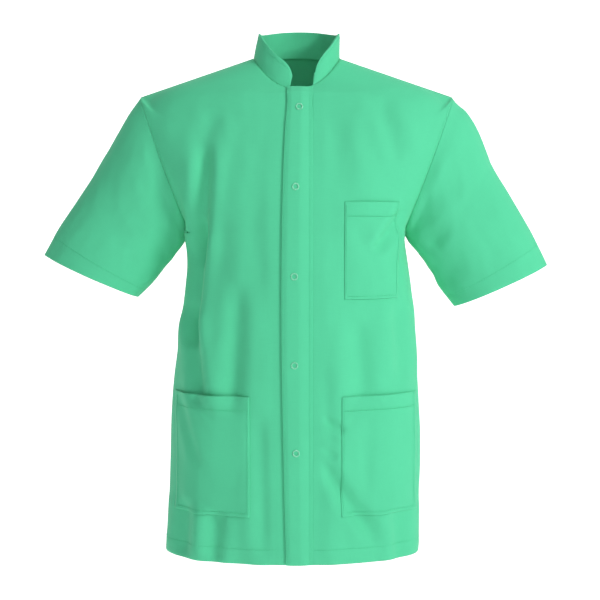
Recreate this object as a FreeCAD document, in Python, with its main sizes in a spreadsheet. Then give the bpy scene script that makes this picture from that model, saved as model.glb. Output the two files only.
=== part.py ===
"""A short-sleeved work tunic with a stand collar, a press-stud front and three patch pockets.

The tunic hangs as it does on a body: +Z up, front facing -Y, the wearer's left towards +X. The origin is
the middle of the shoulder line, level with the high points of the shoulders, where the wearer carries it.
Each piece of cloth is a thin solid between two smooth faces laid at set distances from the body's surface.
"""
import FreeCAD
import Part
import math
import os

Vector = FreeCAD.Vector
doc = FreeCAD.newDocument("tunic")

# ---------------------------------------------------------------- driving dimensions, in mm and degrees
SIZES = [
    # cloth, and the gaps between layers, at sewn edges and between pieces that move apart
    ("cloth", 1.2), ("layer_gap", 0.15), ("facing_gap", 0.8), ("seam_gap", 0.3),
    ("joint_gap", 0.6), ("sleeve_gap", 4),
    # heights are measured down from the high point of the shoulder, or up from the hem
    ("body_length", 744), ("shoulder_drop", 58), ("slope_drop", 29), ("shoulder_across", 170),
    # armhole: an oval in a plane through the tip of the shoulder, leaning in towards the armpit
    ("armhole_length", 216), ("armhole_lean", 20.4), ("armhole_half_depth", 58),
    # half widths and depths of the body's sections
    ("hem_half_width", 192), ("hem_front", 121), ("hem_back", 122),
    ("hip_height", 150), ("hip_half_width", 190), ("hip_front", 121), ("hip_back", 120),
    ("waist_height", 290), ("waist_half_width", 183), ("waist_front", 121), ("waist_back", 116),
    ("ribs_height", 410), ("ribs_half_width", 170), ("ribs_front", 121), ("ribs_back", 114),
    ("armpit_front", 118), ("armpit_back", 114), ("chest_front", 107), ("chest_back", 116),
    ("shoulder_front", 74), ("shoulder_back", 98),
    ("slope_half_width", 150), ("slope_front", 70), ("slope_back", 88),
    # neckline and collar
    ("neck_half_width", 65), ("neck_front", 64), ("neck_back", 74), ("neck_front_drop", 48),
    ("neck_back_rise", 10), ("collar_height", 36), ("collar_lean", 3), ("collar_gap", 36),
    ("collar_corner", 15), ("collar_face", 0.8), ("interlining", 0.4),
    # front edges, the wearer's left over the right
    ("overlap", 20), ("placket_width", 52), ("placket_seam", 8), ("placket_cloth", 2.4),
    ("overlap_stand_off", 2.9), ("hem_turn", 25),
    # patch pockets
    ("pocket_slack", 12), ("hip_pocket_bottom", 70), ("hip_pocket_height", 177),
    ("hip_pocket_inner", 68), ("hip_pocket_outer", 176),
    ("chest_pocket_drop", 214), ("chest_pocket_height", 141), ("chest_pocket_inner", 70),
    ("chest_pocket_outer", 152), ("fold_below_pocket", 13),
    # sleeves
    ("sleeve_reach", 113), ("sleeve_fall", 168), ("sleeve_hem", 25),
    ("elbow_half_width", 85.5), ("elbow_half_depth", 52), ("elbow_turn", 39),
    ("cuff_half_width", 78), ("cuff_half_depth", 45), ("cuff_turn", 65.8),
    # press studs
    ("stud_count", 5), ("first_stud_drop", 64.5), ("stud_spacing", 128.4),
    ("ring_radius", 5.5), ("ring_top_radius", 4.9), ("ring_bore", 3.3), ("ring_height", 1.1),
    ("cap_gap", 0.5), ("socket_gap", 0.35), ("socket_radius", 4.6), ("socket_height", 1.4),
    ("stud_clearance", 0.4),
    ("stud_radius", 4.4), ("stud_flange", 0.5), ("stud_neck", 1.4), ("stud_head", 1.8),
    ("stud_height", 1.8), ("stud_eyelet", 0.6),
]

sheet = doc.addObject("Spreadsheet::Sheet", "sizes")
for row, (alias, number) in enumerate(SIZES, start=1):
    sheet.set(f"A{row}", alias)
    sheet.set(f"B{row}", str(number))
    sheet.setAlias(f"B{row}", alias)
doc.recompute()


class Sizes:
    """The sheet's values by name."""

    def __getattr__(self, alias):
        return float(sheet.get(alias))


size = Sizes()
lean = math.radians(size.armhole_lean)
tip_height = size.body_length - size.shoulder_drop
armpit_height = tip_height - size.armhole_length * math.cos(lean)
tip_half_width = size.neck_half_width + size.shoulder_across
armpit_half_width = tip_half_width - size.armhole_length * math.sin(lean)
chest_pocket_top = size.body_length - size.chest_pocket_drop
chest_pocket_bottom = chest_pocket_top - size.chest_pocket_height
fold_height = chest_pocket_bottom - size.fold_below_pocket
placket_inner = size.placket_width - size.overlap
nodes = {}


def node(label, shape, source=None):
    """Adds a finished piece under its name."""
    made = source or doc.addObject("Part::Feature", label)
    if source is None:
        made.Shape = shape
    made.Label = label
    nodes[label] = made
    return made


# ---------------------------------------------------------------- smooth curves and thin solids
def through(stations, at):
    """A smooth value at a place, through stations of (place, value)."""
    places = [p for p, _ in stations]
    values = [v for _, v in stations]
    slopes = [(values[i + 1] - values[i]) / (places[i + 1] - places[i]) for i in range(len(stations) - 1)]
    i = max(0, min(len(slopes) - 1, sum(1 for p in places[1:-1] if p <= at)))
    before = (slopes[i - 1] + slopes[i]) / 2 if i > 0 else slopes[i]
    after = (slopes[i] + slopes[i + 1]) / 2 if i + 1 < len(slopes) else slopes[i]
    span = places[i + 1] - places[i]
    s = (at - places[i]) / span
    return ((2 * s**3 - 3 * s**2 + 1) * values[i] + (s**3 - 2 * s**2 + s) * span * before
            + (3 * s**2 - 2 * s**3) * values[i + 1] + (s**3 - s**2) * span * after)


def spread(low, high, count):
    """Evenly spaced values from low to high."""
    return [low + (high - low) * i / count for i in range(count + 1)]


def strip(one, other):
    """The narrow face between two curves that run the same way."""
    surface = Part.BSplineSurface()
    surface.buildFromNSections([one, other])
    return surface.toShape()


def thin_solid(near, far):
    """A solid between two faces, each smooth through a grid of points of the same size."""
    faces = []
    edges = []
    for grid in (near, far):
        surface = Part.BSplineSurface()
        surface.interpolate(grid)
        first, last, low, high = surface.bounds()
        faces.append(surface.toShape())
        edges.append([surface.uIso(first), surface.uIso(last), surface.vIso(low), surface.vIso(high)])
    rims = [strip(one, other) for one, other in zip(*edges)]
    shell = Part.makeShell(faces + rims)
    shell.sewShape()
    solid = Part.makeSolid(shell)
    if solid.Volume < 0:
        solid.reverse()
    return solid


# ---------------------------------------------------------------- the body's surface
def fronts_or_backs(face, *names):
    """The depths of the named sections on the front (-1) or the back (+1)."""
    return [getattr(size, f"{name}_{'front' if face < 0 else 'back'}") for name in names]


def side_depth(height, face):
    """How far the middle of the front or back lies from the side seams, up to the tip of the shoulder."""
    places = [0, size.hip_height, size.waist_height, size.ribs_height, armpit_height,
              (armpit_height + tip_height) / 2, tip_height]
    depths = fronts_or_backs(face, "hem", "hip", "waist", "ribs", "armpit", "chest", "shoulder")
    return through(list(zip(places, depths)), height)


def body_ring(level, face):
    """A quarter-oval of the body: 0 hem, 1 armpit, 2 tip of the shoulder, 3 neckline.

    Gives half width, depth, height at the side, the angle where the cloth starts, and how far the
    middle of the front or back lies above the side."""
    if level <= 1:
        height = level * armpit_height
        places = [0, size.hip_height, size.waist_height, size.ribs_height, armpit_height]
        widths = [size.hem_half_width, size.hip_half_width, size.waist_half_width, size.ribs_half_width,
                  armpit_half_width]
        return through(list(zip(places, widths)), height), side_depth(height, face), height, 0.0, 0.0
    if level <= 2:
        share = (1 - math.cos(math.pi * (level - 1))) / 2
        height = armpit_height + share * (tip_height - armpit_height)
        depth = side_depth(height, face)
        edge = armpit_half_width + share * (tip_half_width - armpit_half_width)
        sine = size.armhole_half_depth * math.sin(math.pi * (level - 1)) / depth
        return edge / math.sqrt(1 - sine**2), depth, height, math.asin(sine), 0.0
    slope_height = size.body_length - size.slope_drop
    widths = [(2, tip_half_width), (2.5, size.slope_half_width), (3, size.neck_half_width)]
    half_width = through(widths, level)
    height = through([(2, tip_height), (2.5, slope_height), (3, size.body_length)], level)
    depths = fronts_or_backs(face, "shoulder", "slope", "neck")
    rise = -size.neck_front_drop if face < 0 else size.neck_back_rise
    return half_width, through(list(zip([2, 2.5, 3], depths)), level), height, 0.0, rise * (level - 2)


def body_point(level, face, angle):
    """A point of the body's surface; the angle is 0 at the wearer's left side, 90 degrees in the middle."""
    half_width, depth, height, _, rise = body_ring(level, face)
    return Vector(half_width * math.cos(angle), face * depth * math.sin(angle),
                  height + rise * math.sin(angle)**2 - size.body_length)


def outward(level, face, angle):
    """The direction out of the body's surface at a point."""
    step = 0.01
    up = body_point(min(level + step, 3), face, angle) - body_point(max(level - step, 0), face, angle)
    across = body_point(level, face, angle + step) - body_point(level, face, angle - step)
    direction = across.cross(up).normalize()
    roughly_out = Vector(math.cos(angle), face * math.sin(angle), 0.3)
    return direction if direction.dot(roughly_out) > 0 else direction * -1


def level_at(height):
    """The level at a height above the hem, up to the tip of the shoulder."""
    if height <= armpit_height:
        return height / armpit_height
    share = (height - armpit_height) / (tip_height - armpit_height)
    return 1 + math.acos(1 - 2 * share) / math.pi


def cloth(label, face, levels, start, end, near, thick=None, right=False, columns=16):
    """A piece of cloth on the body across a list of levels, between two distances from the middle.

    start and end are distances from the middle of the front or back, or None for the side seam.
    near is how far the cloth's inner face lies out of the body, or a function of the shares across and up."""
    near_at = near if callable(near) else lambda across, up: near
    thickness = thick or size.cloth
    grids = ([], [])
    for row, level in enumerate(levels):
        up = row / (len(levels) - 1)
        half_width, depth, _, first, _ = body_ring(level, face)
        side = first + size.seam_gap / 2 / max(depth, 1)
        a = side if start is None else math.acos(start / half_width)
        b = math.acos(end / half_width)
        lines = ([], [])
        for across, angle in zip(spread(0, 1, columns), spread(a, b, columns)):
            point = body_point(level, face, angle)
            direction = outward(level, face, angle)
            inner = near_at(across, up)
            lines[0].append(point + direction * inner)
            lines[1].append(point + direction * (inner + thickness))
        for grid, line in zip(grids, lines):
            grid.append(line)
    solid = thin_solid(*grids)
    return node(label, solid.mirror(Vector(), Vector(1, 0, 0)) if right else solid)


# ---------------------------------------------------------------- back, fronts and their turned hems
def heights(low, high, count):
    """Levels at evenly spaced heights."""
    return [level_at(height) for height in spread(low, high, count)]


def over_shoulder(low, top=3.0):
    """Levels from a height up past the armhole to the neckline, closer together at its two ends."""
    rows = max(8, round((armpit_height - low) / 25))
    below = [level_at(armpit_height - (armpit_height - low) * (1 - s)**1.5) for s in spread(0, 1, rows)]
    above = [2 + (top - 2) * s * s for s in spread(0, 1, 8)]
    return below + spread(1, 2, 12)[1:] + above[1:]


fold_low = fold_height - size.joint_gap / 2
fold_high = fold_height + size.joint_gap / 2
skirt = heights(0, fold_low, 10)
chest = over_shoulder(fold_high)
turn = heights(0, size.hem_turn, 4)
inner_layer = -(size.cloth * 2 + size.layer_gap)
facing_layer = -(size.cloth * 2 + size.facing_gap)
left_edge = size.overlap + 2
for part, levels, near in (
    ("chest", chest, -size.cloth), ("skirt", skirt, -size.cloth), ("hem", turn, inner_layer),
):
    cloth(f"left_front_{part}", -1, levels, None, left_edge, near, columns=20)
    cloth(f"right_front_{part}", -1, levels, None, -size.overlap, near, right=True, columns=20)


def full_width(label, face, levels, near):
    """A piece of cloth from one side seam to the other."""
    half = cloth(label + "_half", face, levels, None, 0, near, columns=18)
    whole = half.Shape.fuse(half.Shape.mirror(Vector(), Vector(1, 0, 0)))
    del nodes[label + "_half"]
    doc.removeObject(half.Name)
    return node(label, whole)


full_width("back_panel", 1, over_shoulder(0), -size.cloth)
full_width("back_hem", 1, turn, inner_layer)


# ---------------------------------------------------------------- plackets
def band_lift(across, up):
    """The left placket lies on the front along its inner seam and stands off where it overlaps the right."""
    share = size.placket_seam / size.placket_width
    past = max(0.0, min(1.0, (across - share) / (0.5 * share)))
    return size.layer_gap + (size.overlap_stand_off - size.layer_gap) * past * past * (3 - 2 * past)


for part, levels in (("top", chest), ("skirt", skirt)):
    cloth(f"left_placket_{part}", -1, levels, placket_inner, -size.overlap, band_lift,
          thick=size.placket_cloth, columns=26)
facing_rise = {
    "top": over_shoulder(fold_high, 2.9),
    "skirt": heights(size.hem_turn + size.seam_gap, fold_low, 10),
}
for part, levels in facing_rise.items():
    cloth(f"right_placket_{part}", -1, levels, placket_inner, -size.overlap, facing_layer, right=True)


# ---------------------------------------------------------------- patch pockets
def bag(across, up):
    """A pocket lies on the front along its sewn sides and bottom and stands off towards its mouth."""
    sides = math.sin(math.pi * across)**0.6 if 0 < across < 1 else 0.0
    rise = min(1.0, up / 0.25)
    return size.layer_gap + size.pocket_slack * sides * math.sin(math.pi / 2 * rise)**0.8


def pocket(label, inner, outer, bottom, top, right=False):
    """A patch sewn down on three sides, between two distances from the middle."""
    cloth(label, -1, heights(bottom, top, 16), outer, inner, bag, right=right)


hip_pocket_top = size.hip_pocket_bottom + size.hip_pocket_height
hip_pocket = (size.hip_pocket_inner, size.hip_pocket_outer, size.hip_pocket_bottom, hip_pocket_top)
pocket("left_hip_pocket", *hip_pocket)
pocket("right_hip_pocket", *hip_pocket, right=True)
pocket("chest_pocket", size.chest_pocket_inner, size.chest_pocket_outer,
       chest_pocket_bottom, chest_pocket_top)


# ---------------------------------------------------------------- stand collar: outer, interlining and inner
def neck_point(turned, share, inset):
    """A point of the collar: turned from the wearer's left side through the back, share of its height up."""
    face = 1 if math.sin(turned) > 0 else -1
    depth = (size.neck_back if face > 0 else size.neck_front) - inset - size.collar_lean * share
    half_width = size.neck_half_width - inset - size.collar_lean * share
    base = size.neck_back_rise if face > 0 else -size.neck_front_drop
    x = half_width * math.cos(turned)
    ramp = min(1.0, max(0.0, (size.collar_corner - (abs(x) - size.collar_gap / 2)) / size.collar_corner))
    corner = size.collar_corner * (1 - math.sqrt(1 - ramp**2)) if face < 0 else 0.0
    height = (size.collar_height - corner) * share + size.seam_gap * 2 + size.cloth
    return Vector(x, face * depth * abs(math.sin(turned)), base * math.sin(turned)**2 + height)


front_end = math.asin(size.collar_gap / 2 / size.neck_half_width)
turns = [-math.pi / 2 + front_end + 2 * (math.pi - front_end) * (1 - math.cos(math.pi * share)) / 2
         for share in spread(0, 1, 60)]
inset = 0.0
for label, thickness in (
    ("collar_outer", size.collar_face),
    ("collar_interlining", size.interlining),
    ("collar_inner", size.collar_face),
):
    grids = [[[neck_point(turned, share, inset + depth) for turned in turns] for share in spread(0, 1, 4)]
             for depth in (thickness, 0.0)]
    node(label, thin_solid(*grids))
    inset += thickness + size.layer_gap

# ---------------------------------------------------------------- sleeves
armhole_height = (tip_height + armpit_height) / 2
armhole_middle = Vector((tip_half_width + armpit_half_width) / 2, 0, armhole_height - size.body_length)
SLEEVE_TURNS = [(0, size.armhole_lean), (0.5, size.elbow_turn), (1, size.cuff_turn)]
SLEEVE_WIDTHS = [(0, size.armhole_length / 2), (0.5, size.elbow_half_width), (1, size.cuff_half_width)]
SLEEVE_DEPTHS = [(0, size.armhole_half_depth), (0.5, size.elbow_half_depth), (1, size.cuff_half_depth)]


def sleeve_point(along, around, inset):
    """A point of the left sleeve: along from the armhole to the cuff, around from the underarm seam."""
    turned = math.radians(through(SLEEVE_TURNS, along))
    wide = through(SLEEVE_WIDTHS, along) - inset
    deep = through(SLEEVE_DEPTHS, along) - inset
    start = Vector(math.cos(lean), 0, -math.sin(lean)) * size.sleeve_gap
    centre = armhole_middle + start + Vector(size.sleeve_reach * along, 0, -size.sleeve_fall * along)
    under = Vector(-math.sin(turned), 0, -math.cos(turned))
    return centre + under * (wide * math.cos(around)) + Vector(0, deep * math.sin(around), 0)


def sleeve_cloth(first, last, inset):
    """A tube of cloth, open by a hair along its underarm seam."""
    hair = size.seam_gap / size.armhole_half_depth / 2
    arounds = spread(hair, 2 * math.pi - hair, 40)
    return thin_solid(*[[[sleeve_point(along, around, inset + depth) for around in arounds]
                         for along in spread(first, last, 12)] for depth in (size.cloth, 0.0)])


sleeve_length = math.hypot(size.sleeve_reach, size.sleeve_fall)
for label, shape in (
    ("sleeve_cloth", sleeve_cloth(0, 1, 0.0)),
    ("sleeve_hem", sleeve_cloth(1 - size.sleeve_hem / sleeve_length, 1, size.cloth + size.layer_gap)),
):
    node(f"left_{label}", shape)
    node(f"right_{label}", shape.mirror(Vector(), Vector(1, 0, 0)))


# ---------------------------------------------------------------- press studs
def primitive(kind, name, **expressions):
    """A round primitive on its own Z axis, its sizes bound to the sheet."""
    made = doc.addObject(f"Part::{kind}", name)
    for prop, expression in expressions.items():
        made.setExpression("Placement.Base.z" if prop == "base" else prop, expression)
    return made


def bored(name, solid, radius):
    """A primitive with a hole along its axis."""
    made = doc.addObject("Part::Cut", name)
    made.Base = solid
    made.Tool = primitive("Cylinder", name + "_bore", Radius=radius, Height="sizes.body_length", base="-10")
    return made


ring_rim = primitive("Cone", "ring_rim", Radius1="sizes.ring_radius", Radius2="sizes.ring_top_radius",
                     Height="sizes.ring_height")
ring = bored("ring", ring_rim, "sizes.ring_bore")
socket_disc = primitive("Cylinder", "socket_disc", Radius="sizes.socket_radius", Height="sizes.socket_height")
socket = bored("socket", socket_disc, "sizes.stud_head + sizes.stud_clearance")
stud_parts = doc.addObject("Part::MultiFuse", "stud_parts")
stud_parts.Shapes = [
    primitive("Cylinder", "stud_disc", Radius="sizes.stud_radius", Height="sizes.stud_flange"),
    primitive("Cone", "stud_post", Radius1="sizes.stud_neck", Radius2="sizes.stud_head",
              Height="sizes.stud_height * 0.7"),
    primitive("Cone", "stud_crown", Radius1="sizes.stud_head", Radius2="sizes.stud_neck",
              Height="sizes.stud_height * 0.3", base="sizes.stud_height * 0.7"),
]
stud = bored("stud", stud_parts, "sizes.stud_eyelet")
doc.recompute()


def on_front(label, master, height, depth, facing):
    """A fastener on the middle of the front, its base depth out of the body, facing out (1) or in (-1)."""
    middle = math.pi / 2
    level = level_at(height)
    direction = outward(level, -1, middle)
    place = body_point(level, -1, middle) + direction * depth
    made = node(label, master.Shape)
    made.Placement = FreeCAD.Placement(place, FreeCAD.Rotation(Vector(0, 0, 1), direction * facing))


band_face = size.overlap_stand_off + size.placket_cloth + size.cap_gap
socket_base = size.overlap_stand_off - size.socket_gap - size.socket_height
for number in range(int(size.stud_count)):
    height = size.body_length - size.first_stud_drop - number * size.stud_spacing
    on_front(f"stud_{number + 1}_cap", ring, height, band_face, 1)
    on_front(f"stud_{number + 1}_socket", socket, height, socket_base, 1)
    on_front(f"stud_{number + 1}_stud", stud, height, size.layer_gap * 2, 1)
    on_front(f"stud_{number + 1}_back_ring", ring, height, facing_layer - size.cap_gap, -1)

# ---------------------------------------------------------------- checks and files
doc.recompute()
for thing in doc.Objects:
    if "Invalid" in thing.State or "Error" in thing.State:
        raise RuntimeError(f"{thing.Label} failed: {thing.State}")
for label, made in nodes.items():
    if made.Shape.isNull() or not made.Shape.isValid() or not made.Shape.Solids:
        raise RuntimeError(f"{label} has no valid solid")
os.makedirs("parts", exist_ok=True)
for label, made in nodes.items():
    print(f"{label:24s} solids {len(made.Shape.Solids)}  volume {made.Shape.Volume:10.1f}")
    made.Shape.exportStep(os.path.join("parts", label + ".step"))
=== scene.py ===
import math

import bmesh
import bpy
from mathutils import Matrix, Vector, noise


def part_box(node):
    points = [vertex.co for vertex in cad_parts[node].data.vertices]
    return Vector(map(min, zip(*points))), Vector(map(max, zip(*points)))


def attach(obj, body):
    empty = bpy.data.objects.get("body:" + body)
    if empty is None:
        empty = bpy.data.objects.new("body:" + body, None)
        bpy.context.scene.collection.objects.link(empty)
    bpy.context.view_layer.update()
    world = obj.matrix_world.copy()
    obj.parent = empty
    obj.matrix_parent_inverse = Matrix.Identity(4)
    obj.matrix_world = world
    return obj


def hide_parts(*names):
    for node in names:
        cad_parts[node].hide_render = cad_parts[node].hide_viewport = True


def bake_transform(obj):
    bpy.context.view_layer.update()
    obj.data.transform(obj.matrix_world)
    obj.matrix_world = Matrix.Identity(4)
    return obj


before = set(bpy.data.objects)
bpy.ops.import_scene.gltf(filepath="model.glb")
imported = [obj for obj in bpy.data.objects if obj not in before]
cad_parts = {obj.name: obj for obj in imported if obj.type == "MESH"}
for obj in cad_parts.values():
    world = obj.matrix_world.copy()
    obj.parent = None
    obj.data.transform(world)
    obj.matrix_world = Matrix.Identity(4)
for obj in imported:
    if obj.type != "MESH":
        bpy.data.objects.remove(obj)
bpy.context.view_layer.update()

# The room: a camera level with the chest and a little above the middle, a pale sweep of paper that runs
# from under the tunic up behind it, and large soft lamps in front, so that the cloth is evenly lit.
camera = bpy.data.objects.new("camera", bpy.data.cameras.new("camera"))
bpy.context.collection.objects.link(camera)
bpy.context.scene.camera = camera
camera_distance, camera_height, aim_height, across, view_degrees = 2.2, -0.2, -0.364, 0.0053, 23.45
camera.location = (across, -camera_distance, camera_height)
aim = Vector((across, 0, aim_height)) - camera.location
camera.rotation_euler = aim.to_track_quat("-Z", "Y").to_euler()
camera.data.angle = math.radians(view_degrees)
bpy.context.scene.view_settings.view_transform = "Standard"


def placed(shape, name):
    """A worked-out shape as a smooth object in the room."""
    mesh = bpy.data.meshes.new(name)
    shape.to_mesh(mesh)
    shape.free()
    mesh.shade_smooth()
    thing = bpy.data.objects.new(name, mesh)
    bpy.context.collection.objects.link(thing)
    return thing


paper = bmesh.new()
paper_width, floor_height, paper_front, paper_bend, paper_top, bend_radius = 16.0, -1.75, -4.0, 3.0, 5.0, 1.5
bmesh.ops.create_grid(paper, x_segments=1, y_segments=1, size=paper_width / 2,
                      matrix=Matrix.Translation((0, 0, floor_height)))
back_edge = [edge for edge in paper.edges if all(corner.co.y > 0 for corner in edge.verts)]
for corner in paper.verts:
    corner.co.y = paper_bend if corner.co.y > 0 else paper_front
back_corners = [corner for corner in paper.verts if corner.co.y > 0]
bmesh.ops.spin(paper, geom=back_edge + back_corners, axis=(1, 0, 0), dvec=(0, 0, 0),
               cent=(0, paper_bend, floor_height + bend_radius), angle=math.pi / 2, steps=16)
bend_top = floor_height + bend_radius - 0.01
rim = [edge for edge in paper.edges if all(corner.co.z > bend_top for corner in edge.verts)]
for corner in bmesh.ops.extrude_edge_only(paper, edges=rim)["geom"]:
    if isinstance(corner, bmesh.types.BMVert):
        corner.co.z = paper_top
paper_sweep = placed(paper, "paper_sweep")
paper_white = bpy.data.materials.new("pale paper")
paper_white.use_nodes = True
paper_surface = paper_white.node_tree.nodes["Principled BSDF"].inputs
paper_surface["Base Color"].default_value = (0.93, 0.93, 0.93, 1)
paper_surface["Roughness"].default_value = 0.9
paper_surface["Emission Color"].default_value = (1, 1, 1, 1)
paper_surface["Emission Strength"].default_value = 0.62
paper_sweep.data.materials.append(paper_white)


def soft_lamp(name, place, target, width, watts):
    """A large square lamp that faces a point."""
    lamp = bpy.data.lights.new(name, "AREA")
    lamp.size = width
    lamp.energy = watts
    holder = bpy.data.objects.new(name, lamp)
    bpy.context.collection.objects.link(holder)
    holder.location = place
    holder.rotation_euler = (Vector(target) - Vector(place)).to_track_quat("-Z", "Y").to_euler()


soft_lamp("key lamp", (2.4, -1.9, 0.9), (0, 0, -0.35), 0.8, 58)
soft_lamp("front lamp", (0.3, -3.4, 0.9), (0, 0, -0.3), 1.2, 12)
soft_lamp("top lamp", (0.4, -0.5, 2.2), (0, 0, -0.3), 1.4, 14)
world = bpy.data.worlds.new("white room")
bpy.context.scene.world = world
world.use_nodes = True
room_light = world.node_tree.nodes["Background"].inputs
room_light["Color"].default_value = (1, 1, 1, 1)
room_light["Strength"].default_value = 0.31

# ---------------------------------------------------------------------------------------------------
# Back: one width of mint poly-cotton poplin from side seam to side seam, shaped over the shoulders.
# It is cut flat, sewn to the two fronts along the shoulders and down the sides.
cloth_thickness = 0.0009
hem_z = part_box("back_panel")[0][2]
shoulder_z = -0.058
shoulder_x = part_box("back_panel")[1][0] - 0.002
armpit_z = -0.2605
armpit_x = 0.161
armhole_half_depth = 0.058
neck_half_width, neck_front_z, neck_back_z = 0.065, -0.048, 0.010
FRONT, BACK, RIGHT, LEFT = -1, 1, -1, 1
NECK_DEPTH = {FRONT: 0.064, BACK: 0.074}
# Half widths down each side seam and depths of the front and back, by height above or below the shoulders.
SIDE = {
    RIGHT: [(hem_z, 0.201), (-0.70, 0.197), (-0.608, 0.193), (-0.54, 0.191), (-0.486, 0.187), (-0.44, 0.181),
            (-0.364, 0.170), (-0.31, 0.164), (armpit_z, armpit_x)],
    LEFT: [(hem_z, 0.184), (-0.70, 0.183), (-0.608, 0.187), (-0.54, 0.186), (-0.486, 0.183), (-0.44, 0.180),
           (-0.364, 0.176), (-0.31, 0.169), (armpit_z, armpit_x)],
}
DEPTH = {
    FRONT: [(hem_z, 0.121), (-0.594, 0.121), (-0.454, 0.121), (-0.334, 0.121), (armpit_z, 0.118),
            (-0.159, 0.107), (shoulder_z, 0.074)],
    BACK: [(hem_z, 0.122), (-0.594, 0.120), (-0.454, 0.116), (-0.334, 0.114), (armpit_z, 0.114),
           (-0.159, 0.116), (shoulder_z, 0.098)],
}
# The same from the tips of the shoulders to the neckline, by shares of that way.
SHOULDER_DEPTH = {
    FRONT: [(0, 0.074), (0.5, 0.070), (1, NECK_DEPTH[FRONT])],
    BACK: [(0, 0.098), (0.5, 0.088), (1, NECK_DEPTH[BACK])],
}
half_way_width = 0.150
# Sections are rounded oblongs: 2 would be an ellipse, and a larger number is squarer.
fullness = 2.35


def through(stations, at):
    """A smooth value at a place, through stations of (place, value)."""
    places = [place for place, _ in stations]
    values = [value for _, value in stations]
    slopes = [(values[i + 1] - values[i]) / (places[i + 1] - places[i]) for i in range(len(stations) - 1)]
    i = max(0, min(len(slopes) - 1, sum(1 for place in places[1:-1] if place <= at)))
    before = (slopes[i - 1] + slopes[i]) / 2 if i > 0 else slopes[i]
    after = (slopes[i] + slopes[i + 1]) / 2 if i + 1 < len(slopes) else slopes[i]
    span = places[i + 1] - places[i]
    s = (at - places[i]) / span
    return ((2 * s**3 - 3 * s**2 + 1) * values[i] + (s**3 - 2 * s**2 + s) * span * before
            + (3 * s**2 - 2 * s**3) * values[i + 1] + (s**3 - s**2) * span * after)


def ease(value):
    """0 below 0, 1 above 1 and a smooth step between."""
    value = max(0.0, min(1.0, value))
    return value * value * (3 - 2 * value)


def ring(level, face, side):
    """Half width, depth, height, first angle and rise in the middle of the body at a level.

    Levels: 0 hem, 1 armpit, 2 tip of the shoulder, 3 neckline."""
    if level <= 1:
        height = hem_z + level * (armpit_z - hem_z)
        return through(SIDE[side], height), through(DEPTH[face], height), height, 0.0, 0.0
    if level <= 2:
        share = (1 - math.cos(math.pi * (level - 1))) / 2
        height = armpit_z + share * (shoulder_z - armpit_z)
        depth = through(DEPTH[face], height)
        edge = armpit_x + share * (shoulder_x - armpit_x)
        part = armhole_half_depth * math.sin(math.pi * (level - 1)) / depth
        half_width = edge / (1 - part**fullness)**(1 / fullness)
        return half_width, depth, height, math.asin(part**(fullness / 2)), 0.0
    share = level - 2
    half_width = through([(0, shoulder_x), (0.5, half_way_width), (1, neck_half_width)], share)
    height = through([(0, shoulder_z), (0.5, shoulder_z / 2), (1, 0.0)], share)
    rise = (neck_front_z if face == FRONT else neck_back_z) * share
    return half_width, through(SHOULDER_DEPTH[face], share), height, 0.0, rise


soft_widths = {}
underarm_roll = 0.45  # angle over which the corner under the arm is rounded off
seam_calm = 0.22  # angle beside a side seam over which the folds die out
shoulder_roll = 0.3  # angle beside the armhole over which the shoulder keeps its own line
shoulder_from, shoulder_to = 1.70, 2.34  # levels between which the shoulder is rounded


def soft_half_width(height, face, side):
    """The half width at a height, with the corner under the arm rounded off."""
    count, reach = 240, 14
    if (face, side) not in soft_widths:
        heights = [hem_z + (shoulder_z - hem_z) * i / count for i in range(count + 1)]
        widths = [ring(level_at(one), face, side)[0] for one in heights]
        spans = [min(reach, i, count - i) for i in range(count + 1)]
        soft_widths[face, side] = [sum(widths[i - span:i + span + 1]) / (2 * span + 1)
                                   for i, span in enumerate(spans)]
    place = (height - hem_z) / (shoulder_z - hem_z) * count
    i = max(0, min(count - 1, int(place)))
    low, high = soft_widths[face, side][i:i + 2]
    return low + (high - low) * (place - i)


def raw_body(level, face, side, angle):
    """A point of the body before its shoulders are rounded."""
    half_width, depth, height, first, rise = ring(level, face, side)
    if level < 2:
        soft = soft_half_width(height, face, side)
        half_width += (soft - half_width) * ease((angle - first) / underarm_roll)
    cosine, sine = math.cos(angle), max(0.0, math.sin(angle))
    return Vector((side * half_width * math.copysign(abs(cosine)**(2 / fullness), cosine),
                   face * depth * sine**(2 / fullness), height + rise * sine**2))


def plain_body(level, face, side, angle):
    """A point of the body before it has any folds; angle 0 is the side seam and a right angle the middle."""
    point = raw_body(level, face, side, angle)
    share = (level - shoulder_from) / (shoulder_to - shoulder_from)
    if not 0 < share < 1:
        return point
    below, middle, above = (raw_body(one, face, side, angle) for one in (shoulder_from, 2, shoulder_to))
    rounded_off = below * (1 - share)**2 + middle * (2 * share * (1 - share)) + above * share**2
    return point.lerp(rounded_off, ease((angle - ring(level, face, side)[3]) / shoulder_roll))


def outward(level, face, side, angle):
    """The direction straight out of the cloth."""
    step, least_angle = 0.012, 0.02
    angle = max(angle, least_angle)
    above = plain_body(min(level + step, 3), face, side, angle)
    up = above - plain_body(max(level - step, 0), face, side, angle)
    over = plain_body(level, face, side, angle + step) - plain_body(level, face, side, angle - step)
    direction = over.cross(up).normalized()
    guess = Vector((side * math.cos(angle), face * math.sin(angle), 0.3))
    return direction if direction.dot(guess) > 0 else -direction


def level_at(height):
    """The level at a height below the tip of the shoulder."""
    if height <= armpit_z:
        return (height - hem_z) / (armpit_z - hem_z)
    share = min(1.0, (height - armpit_z) / (shoulder_z - armpit_z))
    return 1 + math.acos(1 - 2 * share) / math.pi


def angle_at(level, face, side, distance):
    """The angle at a sideways distance from the middle; beyond the middle it is negative."""
    half_width, _, height, _, _ = ring(level, face, side)
    if level < 2:
        half_width = soft_half_width(height, face, side)
    share = max(-1.0, min(1.0, distance / half_width))
    return math.acos(math.copysign(abs(share)**(fullness / 2), share))


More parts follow.
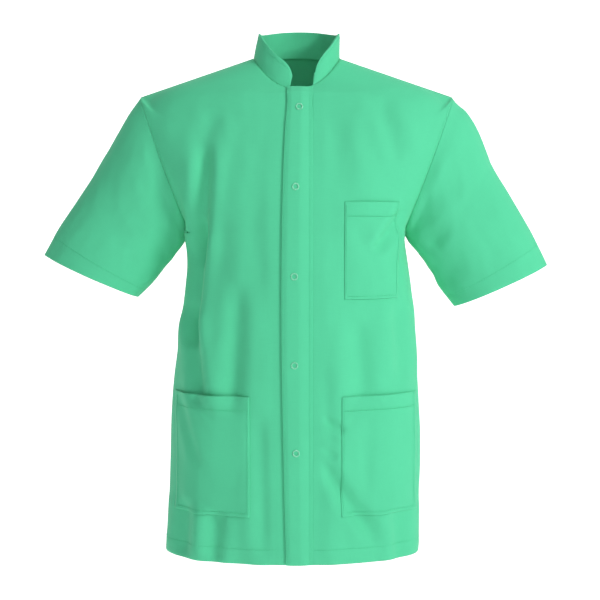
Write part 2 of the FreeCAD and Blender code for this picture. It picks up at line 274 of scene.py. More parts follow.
def fold(point, start, end, width, depth):
    """A furrow between two places on the front or back, with a soft roll along each side of it."""
    here = Vector((point.x, point.z))
    start, end = Vector(start), Vector(end)
    line = end - start
    along = (here - start).dot(line) / line.length_squared
    off = (here - start - line * max(0.0, min(1.0, along))).length / width
    fade = ease((along + 0.15) / 0.35) * ease((1.15 - along) / 0.35)
    return -depth * fade * (1 - off * off) * math.exp(-off * off / 2)


# Folds of the fronts and of the back: from, to, half width and depth. Each end is given across from the
# middle, positive to the wearer's left, and up from the high point of the shoulder.
FRONT_FOLDS = [
    ((-0.132, -0.140), (-0.143, -0.30), 0.0125, 0.0090), ((-0.141, -0.25), (-0.158, -0.42), 0.0120, 0.0110),
    ((-0.158, -0.37), (-0.143, -0.505), 0.0120, 0.0080), ((-0.086, -0.34), (-0.093, -0.52), 0.0150, 0.0050),
    ((0.022, -0.58), (0.118, -0.705), 0.0130, 0.0055), ((0.040, -0.53), (0.072, -0.548), 0.0070, 0.0026),
    ((0.030, -0.572), (0.058, -0.585), 0.0070, 0.0024), ((0.120, -0.070), (0.150, -0.150), 0.0160, 0.0030),
    ((0.096, -0.080), (0.118, -0.165), 0.0150, 0.0020), ((-0.120, -0.085), (-0.145, -0.160), 0.0150, 0.0026),
    ((0.158, -0.225), (0.118, -0.285), 0.0100, 0.0050), ((0.090, -0.39), (0.100, -0.50), 0.0170, 0.0040),
    ((0.150, -0.36), (0.160, -0.47), 0.0130, 0.0048), ((-0.050, -0.53), (-0.046, -0.73), 0.0160, 0.0046),
    ((-0.165, -0.66), (-0.172, -0.74), 0.0140, 0.0060), ((-0.120, -0.67), (-0.124, -0.745), 0.0130, 0.0048),
    ((0.150, -0.67), (0.156, -0.745), 0.0130, 0.0050), ((-0.062, -0.18), (-0.050, -0.36), 0.0200, 0.0020),
    ((0.060, -0.10), (0.056, -0.20), 0.0190, 0.0014), ((0.036, -0.46), (0.050, -0.60), 0.0140, 0.0030),
]
BACK_FOLDS = [
    ((-0.135, -0.15), (-0.150, -0.42), 0.0110, 0.0068), ((0.135, -0.15), (0.152, -0.44), 0.0110, 0.0068),
    ((-0.060, -0.34), (-0.075, -0.70), 0.0180, 0.0051), ((0.070, -0.36), (0.060, -0.72), 0.0180, 0.0051),
    ((0.005, -0.42), (-0.008, -0.74), 0.0170, 0.0044), ((-0.120, -0.50), (-0.135, -0.74), 0.0150, 0.0057),
    ((0.125, -0.52), (0.140, -0.74), 0.0150, 0.0057), ((-0.090, -0.06), (-0.120, -0.16), 0.0120, 0.0034),
    ((0.090, -0.06), (0.118, -0.16), 0.0120, 0.0034), ((-0.030, -0.12), (0.040, -0.135), 0.0120, 0.0020),
]


def drape(point, face):
    """How far the hanging cloth stands out from the plain body, with its folds and small unevenness."""
    band_half_width, band_calm, neck_calm = 0.030, 0.022, 0.06
    flute_depth, dent_depth, crumple_depth = 0.0060, 0.0016, 0.0005
    calm = ease((abs(point.x) - band_half_width) / band_calm) if face == FRONT else 1.0
    calm *= ease((-0.012 - point.z) / neck_calm)
    low = ease((armpit_z + 0.05 - point.z) / 0.30)
    depth = sum(fold(point, *one) for one in (FRONT_FOLDS if face == FRONT else BACK_FOLDS))
    flutes = noise.noise(Vector((point.x * 13, point.y * 13, point.z * 1.6 + face))) * flute_depth * low
    dents = noise.noise(Vector((point.x * 26 + 5, point.y * 26, point.z * 11))) * dent_depth
    crumple = noise.noise(Vector((point.x * 60, point.y * 60 + 3, point.z * 34))) * crumple_depth
    return calm * (depth + flutes + dents + crumple)


def body(level, face, side, angle, out=0.0):
    """A point of the draped body's outside, or at a distance out from it."""
    point = plain_body(level, face, side, angle)
    seams = ease((angle - ring(level, face, side)[3]) / seam_calm) * ease((2.97 - level) / 0.25)
    return point + outward(level, face, side, angle) * (drape(point, face) * seams + out)


def lay_cloth(name, columns, rows, place, thickness=cloth_thickness, turn_over=False, join_ends=False):
    """A sheet of cloth laid by a function of its shares across and up, then given its thickness inwards."""
    sheet = bmesh.new()
    bmesh.ops.create_grid(sheet, x_segments=columns, y_segments=rows, size=0.5)
    shares = {corner: (corner.co.x + 0.5, corner.co.y + 0.5) for corner in sheet.verts}
    for corner, (along, up) in shares.items():
        corner.co = place(along, up)
    grain = sheet.loops.layers.uv.new("grain")
    middle_row = [place(i / 40, 0.4) for i in range(41)]  # low enough to miss the armholes
    middle_column = [place(0.5, i / 40) for i in range(41)]
    width = sum((b - a).length for a, b in zip(middle_row, middle_row[1:]))
    length = sum((b - a).length for a, b in zip(middle_column, middle_column[1:]))
    for patch in sheet.faces:
        for loop in patch.loops:
            loop[grain].uv = (shares[loop.vert][0] * width, shares[loop.vert][1] * length)
    if join_ends:
        bmesh.ops.remove_doubles(sheet, verts=sheet.verts, dist=0.00002)
    if turn_over:
        bmesh.ops.reverse_faces(sheet, faces=sheet.faces)
    piece = placed(sheet, name)
    wall = piece.modifiers.new("thickness", "SOLIDIFY")
    wall.thickness = thickness
    wall.offset = -1
    wall.use_even_offset = False
    return piece


def node_group(name, inputs, outputs):
    """An empty shader group with named number, colour or direction sockets."""
    group = bpy.data.node_groups.new(name, "ShaderNodeTree")
    kinds = {"number": "NodeSocketFloat", "colour": "NodeSocketColor", "direction": "NodeSocketVector"}
    for socket, kind, value in inputs:
        made = group.interface.new_socket(socket, in_out="INPUT", socket_type=kinds[kind])
        if value is not None:
            made.default_value = value
    for socket, kind in outputs:
        group.interface.new_socket(socket, in_out="OUTPUT", socket_type=kinds[kind])
    return group, group.nodes.new("NodeGroupInput"), group.nodes.new("NodeGroupOutput")


def maths(tree, operation, first, second=None, third=None):
    """A maths node's result, from numbers or other nodes' results."""
    node = tree.nodes.new("ShaderNodeMath")
    node.operation = operation
    for socket, value in zip(node.inputs, (first, second, third)):
        if isinstance(value, (int, float)):
            socket.default_value = value
        elif value is not None:
            tree.links.new(value, socket)
    return node.outputs[0]


def speckle(tree, where, scale, stretch, detail=2.0):
    """Smooth noise about 0.5, stretched along an axis."""
    place = tree.nodes.new("ShaderNodeMapping")
    place.inputs["Scale"].default_value = stretch
    tree.links.new(where, place.inputs["Vector"])
    cloud = tree.nodes.new("ShaderNodeTexNoise")
    cloud.inputs["Scale"].default_value = scale
    cloud.inputs["Detail"].default_value = detail
    tree.links.new(place.outputs[0], cloud.inputs["Vector"])
    return cloud.outputs["Fac"]


# Plain weave: warp and weft cross at every thread, with thicker slubs both ways and a faint unevenness of
# the dye. "Where" runs along the grain, in metres.
weave, weave_in, weave_out = node_group(
    "plain weave", [("Where", "direction", None), ("Dye", "colour", (0.1, 0.6, 0.4, 1)),
                    ("Thread spacing", "number", 0.00045), ("Unevenness", "number", 0.1)],
    [("Colour", "colour"), ("Height", "number")])
split = weave.nodes.new("ShaderNodeSeparateXYZ")
weave.links.new(weave_in.outputs["Where"], split.inputs[0])
waves = []
for axis in ("X", "Y"):
    turn = maths(weave, "DIVIDE", maths(weave, "MULTIPLY", split.outputs[axis], math.pi),
                 weave_in.outputs["Thread spacing"])
    waves.append(maths(weave, "SINE", turn))
crossing = maths(weave, "MULTIPLY", waves[0], waves[1])
warp_slubs = speckle(weave, weave_in.outputs["Where"], 1.0, (1400, 60, 1))
weft_slubs = speckle(weave, weave_in.outputs["Where"], 1.0, (60, 1400, 1))
dye_clouds = speckle(weave, weave_in.outputs["Where"], 9.0, (1, 1, 1), 3.0)
slubs = maths(weave, "ADD", warp_slubs, weft_slubs)
tone = maths(weave, "ADD", maths(weave, "MULTIPLY", maths(weave, "SUBTRACT", slubs, 1.0), 0.7),
             maths(weave, "MULTIPLY", maths(weave, "SUBTRACT", dye_clouds, 0.5), 1.2))
tone = maths(weave, "ADD", tone, maths(weave, "MULTIPLY", crossing, 0.12))
tone = maths(weave, "MULTIPLY_ADD", tone, weave_in.outputs["Unevenness"], 1.0)
shade = weave.nodes.new("ShaderNodeVectorMath")
shade.operation = "SCALE"
weave.links.new(weave_in.outputs["Dye"], shade.inputs[0])
weave.links.new(tone, shade.inputs["Scale"])
weave.links.new(shade.outputs[0], weave_out.inputs["Colour"])
thread_height = maths(weave, "ADD", maths(weave, "MULTIPLY", crossing, 0.35),
                      maths(weave, "MULTIPLY", slubs, 0.5))
weave.links.new(thread_height, weave_out.inputs["Height"])


def cloth_finish(name, dye, unevenness):
    """Woven cloth: matt, with the soft sheen of its raised fibres and the relief of its threads."""
    finish = bpy.data.materials.new(name)
    finish.use_nodes = True
    tree = finish.node_tree
    surface = tree.nodes["Principled BSDF"]
    surface.inputs["Roughness"].default_value = 0.82
    surface.inputs["Specular IOR Level"].default_value = 0.25
    surface.inputs["Sheen Weight"].default_value = 0.08
    surface.inputs["Sheen Roughness"].default_value = 0.45
    grain = tree.nodes.new("ShaderNodeUVMap")
    grain.uv_map = "grain"
    threads = tree.nodes.new("ShaderNodeGroup")
    threads.node_tree = weave
    threads.inputs["Dye"].default_value = (*dye, 1)
    threads.inputs["Unevenness"].default_value = unevenness
    tree.links.new(grain.outputs[0], threads.inputs["Where"])
    tree.links.new(threads.outputs["Colour"], surface.inputs["Base Color"])
    relief = tree.nodes.new("ShaderNodeBump")
    relief.inputs["Strength"].default_value = 0.25
    relief.inputs["Distance"].default_value = 0.0002
    tree.links.new(threads.outputs["Height"], relief.inputs["Height"])
    tree.links.new(relief.outputs[0], surface.inputs["Normal"])
    return finish


mint = (0.088, 0.600, 0.322)
mint_poplin = cloth_finish("mint poplin", mint, 0.10)


def dress(piece, finish, slot="tunic_cloth"):
    """Gives a piece its finish; its slot is not used."""
    piece.data.materials.append(finish)
    return piece


def graded(share):
    """The level at a share of the way up a panel, from the hem at 0 to the neckline at 3."""
    return max(0.0, min(3.0, through([(0, 0), (0.62, 1), (0.84, 2), (1, 3)], share)))


def back_place(across, up):
    """The back from the wearer's right seam to the left one."""
    level = graded(up)
    side = RIGHT if across < 0.5 else LEFT
    first = ring(level, BACK, side)[3]
    share = abs(across - 0.5) * 2
    return body(level, BACK, side, first + (1 - share) * (math.pi / 2 - first))


back = lay_cloth("back", 150, 210, back_place)
dress(back, mint_poplin)
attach(back, "torso")
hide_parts("back_panel")

# ---------------------------------------------------------------------------------------------------
# Fronts: two widths of the same poplin, open down the middle. The wearer's right one runs on under the
# left one.
# How far each front's edge stops short of the middle; the right one runs past it.
EDGE = {LEFT: 0.022, RIGHT: -0.020}
NAME = {LEFT: "left", RIGHT: "right"}


def swing(piece, side):
    """A piece of a front, baked into place where it was laid."""
    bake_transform(piece)


def front_place(side, edge):
    """A front from its side seam to its edge, and from its hem to the neckline."""
    def place(across, up):
        level = graded(up)
        first = ring(level, FRONT, side)[3]
        last = angle_at(level, FRONT, side, edge)
        return body(level, FRONT, side, first + (last - first) * across)
    return place


for side in (LEFT, RIGHT):
    name = NAME[side]
    front = lay_cloth(f"{name}_front", 96, 230, front_place(side, EDGE[side]), turn_over=side == LEFT)
    dress(front, mint_poplin)
    swing(front, side)
    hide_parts(f"{name}_front_chest", f"{name}_front_skirt")

# ---------------------------------------------------------------------------------------------------
# Turned hem: the lower edge folded up inside and stitched down, one strip for the back and each front.
hem_turn, hem_layer = 0.025, -0.0013


def hem_back(across, up):
    """The strip inside the back's lower edge."""
    side = RIGHT if across < 0.5 else LEFT
    angle = abs(1 - abs(across - 0.5) * 2) * math.pi / 2
    return body(level_at(hem_z + hem_turn * up), BACK, side, angle, hem_layer)


back_hem = lay_cloth("back_hem_turn", 150, 8, hem_back)
dress(back_hem, mint_poplin)
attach(back_hem, "torso")
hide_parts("back_hem")
for side in (LEFT, RIGHT):
    name = NAME[side]

    def hem_front(across, up, side=side):
        """The strip inside a front's lower edge."""
        level = level_at(hem_z + hem_turn * up)
        return body(level, FRONT, side, angle_at(level, FRONT, side, EDGE[side]) * across, hem_layer)

    hem = lay_cloth(f"{name}_front_hem_turn", 90, 8, hem_front, turn_over=side == LEFT)
    dress(hem, mint_poplin)
    swing(hem, side)
    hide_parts(f"{name}_front_hem")

# ---------------------------------------------------------------------------------------------------
# Placket and facing: the left front ends in a folded double band that closes over the right front, and
# the right front has a plain facing behind its edge. The band is pressed flat and stitched at both edges.
band_left, band_cloth, band_rise, band_seat = 0.024, 0.0016, 0.0038, 0.0003
BAND_EDGE = [(hem_z, -0.0150), (-0.60, -0.0185), (-0.40, -0.0215), (-0.19, -0.0195), (neck_front_z, -0.0135)]


def band_edge(height):
    """How far the band's free edge lies across the middle at a height; it wanders a little as it hangs."""
    return through(BAND_EDGE, max(hem_z, min(neck_front_z, height)))


def band_place(across, up):
    """The band from its stitched edge on the left front to its free edge over the right front."""
    level = graded(up)
    _, _, height, _, rise = ring(level, FRONT, LEFT)
    distance = band_left + (band_edge(height + rise) - band_left) * across
    lift = band_seat + band_rise * ease(across / 0.5) * (1 - 0.36 * ease((across - 0.8) / 0.2))
    return body(level, FRONT, LEFT, angle_at(level, FRONT, LEFT, distance), lift)


band = lay_cloth("left_placket_band", 34, 260, band_place, thickness=band_cloth, turn_over=True)
folded_edge = band.modifiers.new("folded edge", "BEVEL")
folded_edge.width = 0.0006
folded_edge.segments = 2
folded_edge.limit_method = "ANGLE"
dress(band, mint_poplin)
swing(band, LEFT)
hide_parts("left_placket_top", "left_placket_skirt")


facing_inner, facing_width = 0.032, 0.052
facing_low, facing_high = level_at(hem_z + hem_turn + 0.002), 2.9


def facing_place(across, up):
    """The facing behind the right front's edge, from just above the hem to just below the neckline."""
    level = min(facing_high, facing_low + (facing_high - facing_low) * up)
    distance = facing_inner - facing_width * across
    return body(level, FRONT, RIGHT, angle_at(level, FRONT, RIGHT, distance), hem_layer)


facing = lay_cloth("right_facing", 16, 120, facing_place)
dress(facing, mint_poplin)
swing(facing, RIGHT)
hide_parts("right_placket_top", "right_placket_skirt")

# ---------------------------------------------------------------------------------------------------
# Patch pockets: a square of poplin with a doubled hem across its mouth, sewn down on three sides. The
# mouth gapes a little. One sits on the left breast and one on each hip.
pocket_hem, pocket_cloth = 0.024, 0.0008


def pocket_lift(across, up, gape):
    """How far a pocket's outside stands off the front."""
    sides = math.sin(math.pi * max(0.0, min(1.0, across)))**0.7
    puffed = ease((up - 0.25) / 0.75)
    seam_ridge = 0.0004 * (1 - ease(min(across, 1 - across, up) / 0.04))
    return 0.0005 + seam_ridge + sides * (0.0010 + gape * puffed)


# Side of the body, inner and outer edge across from the middle, corners of its box, and gape of its mouth.
POCKETS = {
    "left_hip_pocket": (LEFT, 0.066, 0.176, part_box("left_hip_pocket"), 0.0016),
    "right_hip_pocket": (RIGHT, 0.068, 0.184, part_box("right_hip_pocket"), 0.0042),
    "chest_pocket": (LEFT, 0.070, 0.150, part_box("chest_pocket"), 0.0008),
}
POCKET_FOLDS = {
    "left_hip_pocket": [((0.105, -0.52), (0.100, -0.66), 0.011, 0.0012)],
    "right_hip_pocket": [((-0.172, -0.505), (-0.145, -0.60), 0.008, 0.0024),
                         ((-0.150, -0.50), (-0.120, -0.53), 0.007, 0.0012)],
    "chest_pocket": [((0.085, -0.24), (0.125, -0.33), 0.012, 0.0008)],
}


def pocket_place(name, out=0.0):
    """A pocket from its outer edge to its inner one, and from its bottom to its mouth."""
    side, inner, outer, (low, high), gape = POCKETS[name]

    def place(across, up):
        level = level_at(low[2] + (high[2] - low[2]) * up)
        angle = angle_at(level, FRONT, side, outer + (inner - outer) * across)
        flat = body(level, FRONT, side, angle)
        folds = sum(fold(flat, *one) for one in POCKET_FOLDS[name])
        return flat + outward(level, FRONT, side, angle) * (pocket_lift(across, up, gape) + folds + out)
    return place


for pocket_name, (side, inner, outer, (low, high), _) in POCKETS.items():
    pocket = lay_cloth(pocket_name + "_patch", 60, 84, pocket_place(pocket_name), thickness=pocket_cloth,
                       turn_over=side == LEFT)
    lower = pocket_place(pocket_name, -pocket_cloth - 0.0002)
    tall = high[2] - low[2]
    hem_share = pocket_hem / tall
    mouth_hem = lay_cloth(pocket_name + "_hem", 60, 12,
                          lambda across, up: lower(0.02 + across * 0.96, 1 - hem_share * (1 - up) - 0.003),
                          turn_over=side == LEFT)
    for piece in (pocket, mouth_hem):
        dress(piece, mint_poplin)
        if pocket_name == "chest_pocket":
            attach(piece, "torso")
        else:
            swing(piece, side)
    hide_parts(pocket_name)

# ---------------------------------------------------------------------------------------------------
# Stand collar: an outer and an inner layer of poplin with interlining between, sewn into the neckline and
# turned out along the top. It stands up round the back and its two front ends are rounded.
collar_stand, collar_lean, collar_round, collar_face, collar_seam = 0.0375, 0.004, 0.019, 0.0012, 0.003
collar_ends = {RIGHT: 0.0105, LEFT: 0.0240}
collar_sway, collar_ripple = 0.004, 0.0008


def collar_place(out):
    """The collar from its right front end round the back to its left one, and from seam to top edge."""
    start = -math.pi / 2 - math.asin((collar_ends[RIGHT] / neck_half_width)**(fullness / 2))
    finish = -math.pi / 2 + math.asin((collar_ends[LEFT] / neck_half_width)**(fullness / 2))

    def place(across, up):
        travel = 0.35 * across + 0.65 * (1 - math.cos(math.pi * across)) / 2  # closer together at the ends
        turned = start - (2 * math.pi - (finish - start)) * travel
        cosine, sine = math.cos(turned), math.sin(turned)
        depth = NECK_DEPTH[BACK if sine > 0 else FRONT] - out - collar_lean * up
        half_width = neck_half_width - out - collar_lean * up
        base = neck_back_z if sine > 0 else neck_front_z
        point = Vector((half_width * math.copysign(abs(cosine)**(2 / fullness), cosine),
                        depth * math.copysign(abs(sine)**(2 / fullness), sine), base * sine * sine))
        end = collar_ends[LEFT if point.x > 0 else RIGHT]
        inner = max(0.0, abs(point.x) - end) if sine < 0 else 1.0
        corner = max(0.0, 1 - inner / collar_round)
        tall = collar_stand - collar_round * (1 - math.sqrt(1 - min(1.0, corner)**2))
        rise = -collar_seam + (tall + collar_seam) * up
        ripple = collar_ripple * noise.noise(Vector((cosine * 4, sine * 4, up * 2))) * ease(rise / 0.01)
        return point + Vector((collar_sway * up, 0, rise)) + Vector((cosine, sine, 0)) * ripple
    return place


for collar_name, out, nodes_shown in (
    ("collar_outer_layer", 0.0, ("collar_outer", "collar_interlining")),
    ("collar_inner_layer", collar_face + 0.0002, ("collar_inner",)),
):
    layer = lay_cloth(collar_name, 150, 16, collar_place(out), thickness=collar_face, turn_over=True)
    rolled = layer.modifiers.new("rolled edge", "BEVEL")
    rolled.width = 0.0005
    rolled.segments = 2
    dress(layer, mint_poplin)
    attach(layer, "torso")
    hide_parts(*nodes_shown)

# ---------------------------------------------------------------------------------------------------
# Sleeves: a tube of poplin set into each armhole and closed under the arm, with a hem turned up inside
# the cuff. They hang from the tips of the shoulders and crease where they meet the body.
sleeve_reach, sleeve_fall, turn_share = 0.113, 0.168, 0.124
armhole = Vector((shoulder_x - armpit_x, 0, shoulder_z - armpit_z))
armhole_middle = Vector(((shoulder_x + armpit_x) / 2, 0, (shoulder_z + armpit_z) / 2))
lean = math.degrees(math.atan2(armhole.x, armhole.z))
droop = {RIGHT: 0.0, LEFT: 0.014}
puff, broad_unevenness, fine_unevenness = 0.008, 0.0035, 0.0008
# Creases of the sleeves: along and around at one end, then at the other, half width and depth. Along goes
# from armhole to cuff, and around from the underarm, with the front's middle at 0.25 and the back's at 0.75.
SLEEVE_CREASES = {
    LEFT: [(0.02, 0.10, 0.42, 0.16, 0.030, 0.0045), (0.05, 0.17, 0.30, 0.27, 0.022, 0.0030),
           (0.30, 0.05, 0.75, 0.12, 0.040, 0.0030), (0.10, 0.36, 0.55, 0.34, 0.045, 0.0022),
           (0.05, 0.88, 0.45, 0.80, 0.035, 0.0040)],
    RIGHT: [(0.02, 0.08, 0.50, 0.10, 0.030, 0.0040), (0.06, 0.20, 0.45, 0.22, 0.030, 0.0026),
            (0.35, 0.30, 0.85, 0.28, 0.050, 0.0022), (0.05, 0.88, 0.45, 0.80, 0.035, 0.0040)],
}


def sleeve_point(side, along, around, out=0.0):
    """A point of a sleeve: along from the armhole to the cuff, around from the underarm past the front."""
    turned = math.radians(through([(0, lean), (0.5, 39), (1, 65.8)], along))
    wide = through([(0, armhole.length / 2), (0.5, 0.0855), (1, 0.078)], along) + out
    deep = through([(0, armhole_half_depth), (0.5, 0.052), (1, 0.045)], along) + out
    centre = armhole_middle + Vector((sleeve_reach * along, 0, -(sleeve_fall + droop[side] * along) * along))
    under = Vector((-math.sin(turned), 0, -math.cos(turned)))
    angle = 2 * math.pi * around
    cosine, sine = math.cos(angle), math.sin(angle)
    crease = 0.0
    for a0, r0, a1, r1, width, depth in SLEEVE_CREASES[side]:
        line = Vector((a1 - a0, (r1 - r0) * 2))
        here = Vector((along - a0, (around - r0) * 2))
        share = here.dot(line) / line.length_squared
        off = (here - line * max(0.0, min(1.0, share))).length / (width * 4)
        fade = ease((share + 0.2) / 0.4) * ease((1.2 - share) / 0.4)
        crease -= depth * fade * (1 - off * off) * math.exp(-off * off / 2)
    direction = (under * cosine * deep + Vector((0, -sine * wide, 0))).normalized()
    if side == LEFT:
        crease += puff * math.sin(math.pi * min(1.0, along / 0.4)) * ease(-cosine)
    point = centre + under * (wide * cosine) - Vector((0, deep * sine, 0))
    rough = noise.noise(Vector((along * 2.2 + side, cosine * 1.3, sine * 1.3))) * broad_unevenness
    rough += noise.noise(Vector((along * 9, cosine * 5, sine * 5 + side))) * fine_unevenness
    point += direction * (crease + rough) * ease(along / 0.12)
    point.x *= side
    return point


ARMS = {RIGHT: "right_sleeve", LEFT: "left_sleeve"}


def raise_with_arm(piece, side):
    """A piece of a sleeve, baked into place where it was laid."""
    cuff_middle = (sleeve_point(side, 1, 0) + sleeve_point(side, 1, 0.5)) / 2
    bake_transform(piece)


for side, arm in ARMS.items():
    sleeve = lay_cloth(arm + "_tube", 120, 90, lambda across, up: sleeve_point(side, 1 - up, across),
                       turn_over=side == RIGHT, join_ends=True)
    cuff_turn = lay_cloth(arm + "_turn", 120, 8,
                          lambda across, up: sleeve_point(side, 1 - up * turn_share, across, hem_layer),
                          turn_over=side == RIGHT, join_ends=True)
    layers = ((sleeve, (0.45, 0.25), arm + "_cloth"), (cuff_turn, (0.39, 0.025), arm + "_hem"))
    for piece, flat, node in layers:
        dress(piece, mint_poplin)
        raise_with_arm(piece, side)
        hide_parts(node)

# ---------------------------------------------------------------------------------------------------
# Press studs: a pronged ring cap on the band, a socket behind it, and a stud held by a second ring on
# the right front. The caps are enamelled in a pearly green to match; the rest is nickelled brass.
cap_enamel = bpy.data.materials.new("pearly green enamel")
cap_enamel.use_nodes = True
enamel_tree = cap_enamel.node_tree
enamel = enamel_tree.nodes["Principled BSDF"]
enamel.inputs["Roughness"].default_value = 0.28
enamel.inputs["Coat Weight"].default_value = 0.5
enamel.inputs["Coat Roughness"].default_value = 0.12
where = enamel_tree.nodes.new("ShaderNodeTexCoord").outputs["Object"]
swirl = speckle(enamel_tree, where, 500.0, (1, 1, 1), 3.0)
pearl = enamel_tree.nodes.new("ShaderNodeValToRGB")
dark_green, pearly_green = pearl.color_ramp.elements
dark_green.position = 0.35
dark_green.color = (0.10, 0.56, 0.32, 1)
pearly_green.position = 0.65
pearly_green.color = (0.27, 0.74, 0.50, 1)
enamel_tree.links.new(swirl, pearl.inputs["Fac"])
enamel_tree.links.new(pearl.outputs[0], enamel.inputs["Base Color"])

nickel = bpy.data.materials.new("nickelled brass")
nickel.use_nodes = True
nickel_tree = nickel.node_tree
nickel_surface = nickel_tree.nodes["Principled BSDF"]
nickel_surface.inputs["Metallic"].default_value = 1.0
nickel_surface.inputs["Base Color"].default_value = (0.66, 0.66, 0.64, 1)
nickel_place = nickel_tree.nodes.new("ShaderNodeTexCoord").outputs["Object"]
tumble_marks = speckle(nickel_tree, nickel_place, 900.0, (1, 1, 1))
tumbled = maths(nickel_tree, "MULTIPLY_ADD", tumble_marks, 0.3, 0.15)
nickel_tree.links.new(tumbled, nickel_surface.inputs["Roughness"])


def spun(name, outline, place, direction, finish, slot):
    """A round part turned from its outline of (radius, height), set at a place and facing a direction."""
    part = bmesh.new()
    corners = [part.verts.new((radius, 0, height)) for radius, height in outline]
    edges = [part.edges.new((corners[i], corners[(i + 1) % len(corners)])) for i in range(len(corners))]
    bmesh.ops.spin(part, geom=corners + edges, cent=(0, 0, 0), axis=(0, 0, 1), dvec=(0, 0, 0),
                   angle=2 * math.pi, steps=40, use_merge=True)
    bmesh.ops.remove_doubles(part, verts=part.verts, dist=0.00001)
    bmesh.ops.recalc_face_normals(part, faces=part.faces)
    turn = direction.to_track_quat("Z", "Y").to_matrix().to_4x4()
    bmesh.ops.transform(part, matrix=Matrix.Translation(place) @ turn, verts=part.verts)
    return dress(placed(part, name), finish, slot)


def rounded(inner, outer, low, high, bulge):
    """The outline of a ring with a rolled top."""
    middle, half = (inner + outer) / 2, (outer - inner) / 2
    arc = [(middle + half * math.cos(a), low + bulge + (high - low - bulge) * math.sin(a))
           for a in (math.pi * i / 8 for i in range(9))]
    return [(inner, low), (outer, low)] + arc


RING = rounded(0.0033, 0.0055, 0.0, 0.0012, 0.0002)
SOCKET = [(0.0022, 0.0), (0.0042, 0.0), (0.0046, 0.0004), (0.0046, 0.0012), (0.0042, 0.0014),
          (0.0022, 0.0014)]
STUD = [(0.0006, 0.0), (0.0044, 0.0), (0.0044, 0.0004), (0.0015, 0.0007), (0.0014, 0.0009), (0.0018, 0.0014),
        (0.0015, 0.0018), (0.0006, 0.0018)]
band_top = band_rise + band_seat
stud_inset = 0.0185
# Outline, how far out it sits, the way it faces, the front it belongs to, finish and slot.
STUD_PARTS = {
    "cap": (RING, band_top, 1, LEFT, cap_enamel, "stud_cap"),
    "socket": (SOCKET, band_top - band_cloth - 0.0015, 1, LEFT, nickel, "stud_metal"),
    "stud": (STUD, 0.0002, 1, RIGHT, nickel, "stud_metal"),
    "back_ring": (RING, hem_layer - cloth_thickness - 0.0002, -1, RIGHT, nickel, "stud_metal"),
}
for number in range(1, 6):
    for part_name, (outline, out, facing_way, side, finish, slot) in STUD_PARTS.items():
        node = f"stud_{number}_{part_name}"
        low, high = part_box(node)
        height = (low[2] + high[2]) / 2
        level = level_at(height)
        spot_angle = angle_at(level, FRONT, LEFT, band_edge(height) + stud_inset)
        direction = outward(level, FRONT, LEFT, spot_angle)
        spot = body(level, FRONT, LEFT, spot_angle, out)
        piece = spun(f"ring_stud_{number}_{part_name}", outline, spot, direction * facing_way, finish, slot)
        swing(piece, side)
        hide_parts(node)

# ---------------------------------------------------------------------------------------------------
# Topstitching: lockstitch in matching thread along the hems, the band, the pockets, the armholes, the cuffs
# and the collar, about six stitches to the inch. Each stitch is a short bead, sunk a little into the cloth.
stitch_length, stitch_gap, thread_radius = 0.0030, 0.0012, 0.00032
thread_green = (0.085, 0.60, 0.325)
thread_finish = cloth_finish("matching thread", thread_green, 0.25)


def stitch_row(thread, path, out_at):
    """Beads of thread along a path of points, each sunk a little into the cloth."""
    run = 0.0
    ends = []
    for a, b in zip(path, path[1:]):
        length = (b - a).length
        while run < length:
            ends.append(a.lerp(b, run / length))
            run += stitch_length + stitch_gap
        run -= length
    for i, spot in enumerate(ends[:-1]):
        along = (ends[i + 1] - spot).normalized()
        bead = bmesh.ops.create_cone(thread, cap_ends=True, segments=6, radius1=thread_radius,
                                     radius2=thread_radius, depth=stitch_length)
        middle = spot + along * stitch_length / 2 + out_at(spot) * thread_radius * 0.35
        turn = along.to_track_quat("Z", "Y").to_matrix().to_4x4()
        bmesh.ops.transform(thread, matrix=Matrix.Translation(middle) @ turn, verts=bead["verts"])


def stitching(name, rows):
    """All the rows of stitches of one part of the garment as one piece."""
    thread = bmesh.new()
    for path, out_at in rows:
        stitch_row(thread, path, out_at)
    thread.loops.layers.uv.new("grain")
    return dress(placed(thread, name), thread_finish)


def away(spot):
    """Roughly outwards from the body's middle line."""
    return Vector((spot.x * 0.4, spot.y, 0.0)).normalized()


def line_on(place, start, end, count=60):
    """Points along a straight line of shares on a laid cloth."""
    return [place(start[0] + (end[0] - start[0]) * i / count, start[1] + (end[1] - start[1]) * i / count)
            for i in range(count + 1)]


def armhole_line(face, side, inset):
    """Points of the body just inside an armhole, from the armpit to the tip of the shoulder."""
    levels = [1.04 + 0.93 * i / 40 for i in range(41)]
    return [body(level, face, side, ring(level, face, side)[3] + inset) for level in levels]


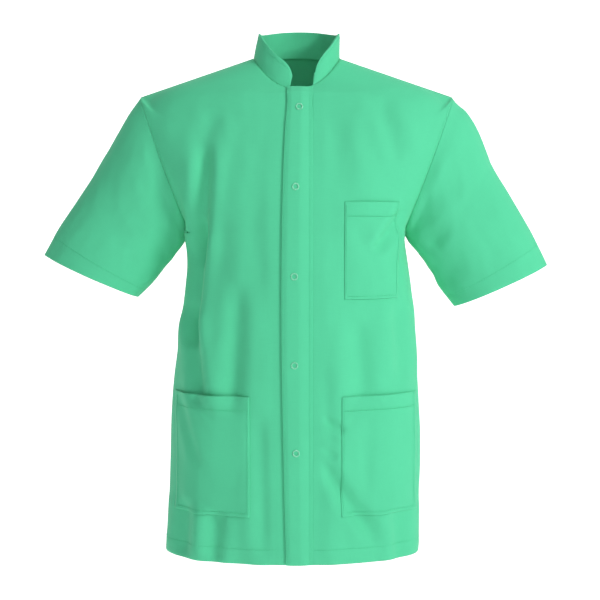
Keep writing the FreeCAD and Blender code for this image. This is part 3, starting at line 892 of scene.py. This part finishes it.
def hem_line(face, side, rise):
    """Points along the hem from the side seam to the middle or the front edge."""
    level = level_at(hem_z + rise)
    first = 0.01
    last = math.pi / 2 if face == BACK else angle_at(level, face, side, abs(EDGE[side]) + 0.003)
    return [body(level, face, side, first + (last - first) * i / 60) for i in range(61)]


def straight_out(spot):
    """Out of a sleeve's front or back."""
    return Vector((0, spot.y, 0)).normalized()


hem_row, armhole_row, cuff_row = 0.022, 0.028, 0.885
# Corners of the row round a pocket's three sewn sides, in shares across and up.
POCKET_ROW = [(0.03, 0.99), (0.03, 0.03), (0.97, 0.03), (0.97, 0.99)]
front_rows = {side: [(hem_line(FRONT, side, hem_row), away), (armhole_line(FRONT, side, armhole_row), away)]
              for side in (LEFT, RIGHT)}
for share in (0.10, 0.94):
    front_rows[LEFT].append((line_on(band_place, (share, 0.002), (share, 0.995), 160), away))
for pocket_name, (side, _, _, (low, high), _) in POCKETS.items():
    on_top = pocket_place(pocket_name, 0.0002)
    for start, end in zip(POCKET_ROW, POCKET_ROW[1:]):
        front_rows[side].append((line_on(on_top, start, end), away))
    hem_at = 1 - (pocket_hem - 0.003) / (high[2] - low[2])
    mouth_row = line_on(pocket_place(pocket_name, 0.0010), (0.03, hem_at), (0.97, hem_at))
    front_rows[side].append((mouth_row, away))
for side in (LEFT, RIGHT):
    swing(stitching(f"{NAME[side]}_front_stitching", front_rows[side]), side)
    cuff_path = [sleeve_point(side, cuff_row, i / 120) for i in range(121)]
    raise_with_arm(stitching(f"{ARMS[side]}_stitching", [(cuff_path, straight_out)]), side)
collar_top = collar_place(-0.0001)
collar_path = [collar_top(0.02 + 0.96 * i / 120, 0.86) for i in range(121)]
seam_path = [collar_top(0.01 + 0.98 * i / 120, 0.10) for i in range(121)]
back_thread = stitching("back_stitching", [
    (hem_line(BACK, LEFT, hem_row), away), (hem_line(BACK, RIGHT, hem_row), away),
    (armhole_line(BACK, LEFT, armhole_row), away), (armhole_line(BACK, RIGHT, armhole_row), away),
    (collar_path, away), (seam_path, away)])
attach(back_thread, "torso")
